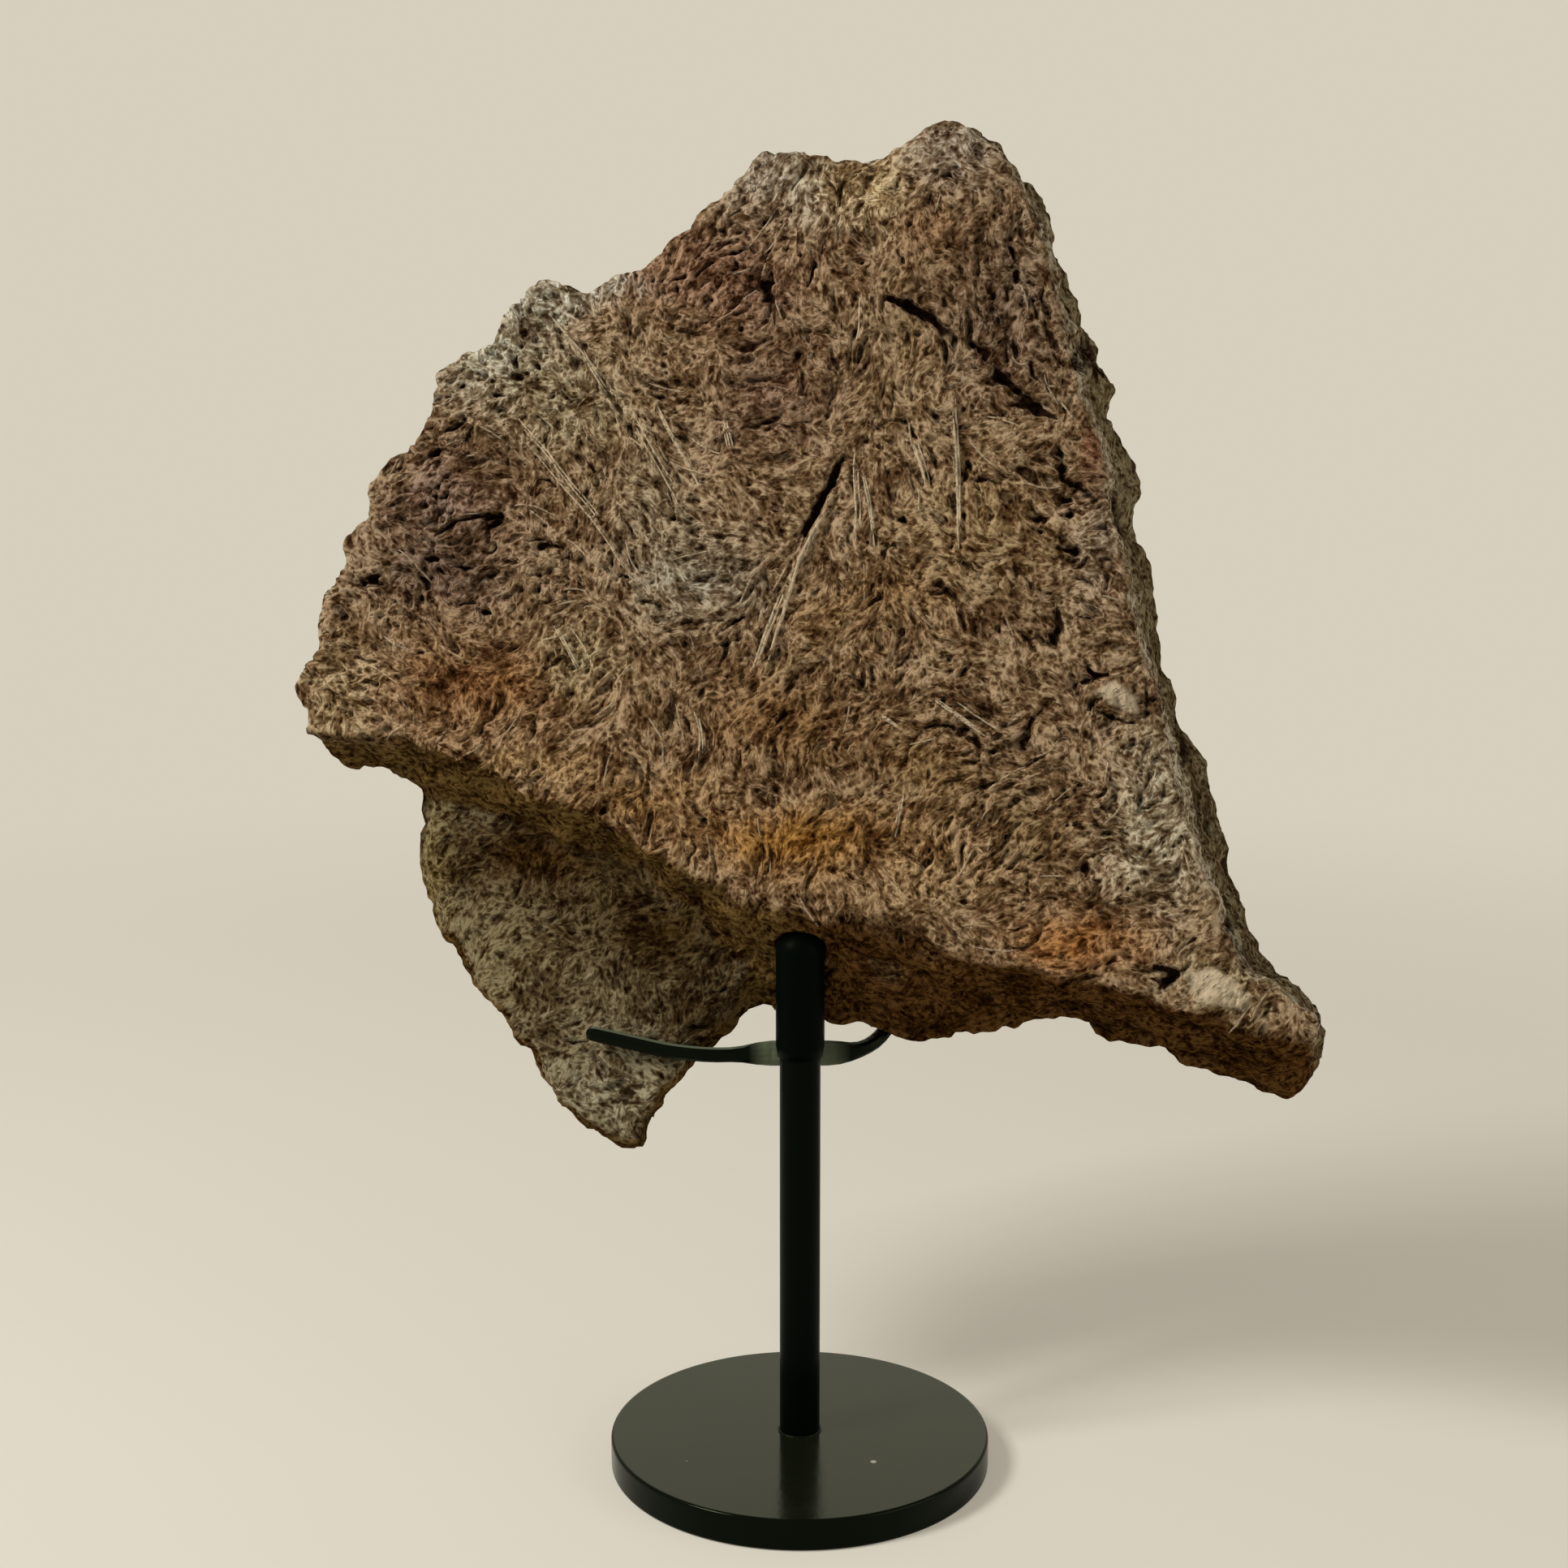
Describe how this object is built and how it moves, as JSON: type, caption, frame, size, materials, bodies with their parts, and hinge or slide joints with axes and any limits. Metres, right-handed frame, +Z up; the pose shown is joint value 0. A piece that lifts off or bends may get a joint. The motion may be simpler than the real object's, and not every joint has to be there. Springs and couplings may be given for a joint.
{
  "type": "triceratops frill fragment",
  "caption": "Broken slab of fossil neck-frill bone, held upright by a rod cradle and sleeve on a round-based black metal display stand.",
  "frame": {"origin": "centre of the base disc's underside", "axes": "+Z up the post, +Y away from the viewer of the fossil's front face, +X to that viewer's right"},
  "size_m": [0.3198, 0.1316, 0.4184],
  "materials": {
    "fossil_bone": "matte",
    "stand_paint": "satin"
  },
  "bodies": {
    "root": {"frill_fragment": "fossil_bone", "base_disc": "stand_paint", "post": "stand_paint", "sleeve": "stand_paint", "cradle_rod": "stand_paint"}
  },
  "joints": []
}
